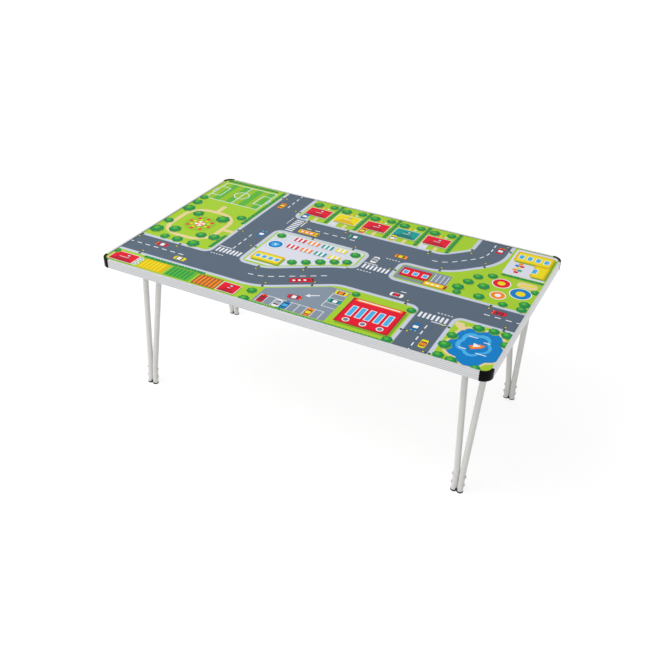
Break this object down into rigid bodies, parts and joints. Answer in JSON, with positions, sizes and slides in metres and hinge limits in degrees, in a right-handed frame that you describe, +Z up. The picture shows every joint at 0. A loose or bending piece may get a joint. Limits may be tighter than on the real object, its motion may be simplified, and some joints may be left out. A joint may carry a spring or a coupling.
{
  "type": "folding play table",
  "caption": "Low folding play table with a printed road-map top, a reeded metal edge frame and twin-tube leg frames that fold flat under it.",
  "frame": {"origin": "on the floor, under the middle of the top", "axes": "+Z up, X along the length of the top, Y across its width"},
  "size_m": [1.0672, 0.6112, 0.4366],
  "materials": {
    "print": "printed high-pressure laminate, satin gloss",
    "plywood": "plywood core",
    "backing": "plain backing laminate",
    "aluminium": "mill finish, reeded extrusion",
    "corner_plastic": "moulded, low gloss",
    "leg_coating": "silver-grey powder coat on steel tube",
    "rivet_steel": "plated",
    "foot_rubber": "moulded, matt",
    "zinc_plate": "pressed strip, zinc plated",
    "nylon": "moulded nylon",
    "screw_steel": "zinc plated"
  },
  "bodies": {
    "table_top": {"print_laminate": "print", "top_core": "plywood", "backing_laminate": "backing", "rail_front": "aluminium", "rail_right": "aluminium", "rail_back": "aluminium", "rail_left": "aluminium", "corner_front_right": "corner_plastic", "corner_back_right": "corner_plastic", "corner_back_left": "corner_plastic", "corner_front_left": "corner_plastic", "saddle_front_right": "zinc_plate", "saddle_back_right": "zinc_plate", "saddle_front_left": "zinc_plate", "saddle_back_left": "zinc_plate", "catch_front_right": "nylon", "catch_back_right": "nylon", "catch_front_left": "nylon", "catch_back_left": "nylon", "saddle_screw_inner_front_right": "screw_steel", "saddle_screw_outer_front_right": "screw_steel", "saddle_screw_inner_back_right": "screw_steel", "saddle_screw_outer_back_right": "screw_steel", "saddle_screw_inner_front_left": "screw_steel", "saddle_screw_outer_front_left": "screw_steel", "saddle_screw_inner_back_left": "screw_steel", "saddle_screw_outer_back_left": "screw_steel", "catch_screw_inner_front_right": "screw_steel", "catch_screw_outer_front_right": "screw_steel", "catch_screw_inner_back_right": "screw_steel", "catch_screw_outer_back_right": "screw_steel", "catch_screw_inner_front_left": "screw_steel", "catch_screw_outer_front_left": "screw_steel", "catch_screw_inner_back_left": "screw_steel", "catch_screw_outer_back_left": "screw_steel"},
    "right_leg_frame": {"pivot_tube_right": "leg_coating", "catch_tube_right": "leg_coating", "foot_front_right": "foot_rubber", "foot_back_right": "foot_rubber", "rivet_low_front_right": "rivet_steel", "rivet_high_front_right": "rivet_steel", "rivet_low_back_right": "rivet_steel", "rivet_high_back_right": "rivet_steel"},
    "left_leg_frame": {"pivot_tube_left": "leg_coating", "catch_tube_left": "leg_coating", "foot_front_left": "foot_rubber", "foot_back_left": "foot_rubber", "rivet_low_front_left": "rivet_steel", "rivet_high_front_left": "rivet_steel", "rivet_low_back_left": "rivet_steel", "rivet_high_back_left": "rivet_steel"}
  },
  "joints": [
    {"name": "right_leg_fold", "type": "hinge", "parent": "table_top", "child": "right_leg_frame", "pos_m": [0.438, 0, 0.41495], "axis": [0, 1, 0], "range_deg": [0, 90]},
    {"name": "left_leg_fold", "type": "hinge", "parent": "table_top", "child": "left_leg_frame", "pos_m": [-0.438, 0, 0.41495], "axis": [0, -1, 0], "range_deg": [0, 90]}
  ]
}
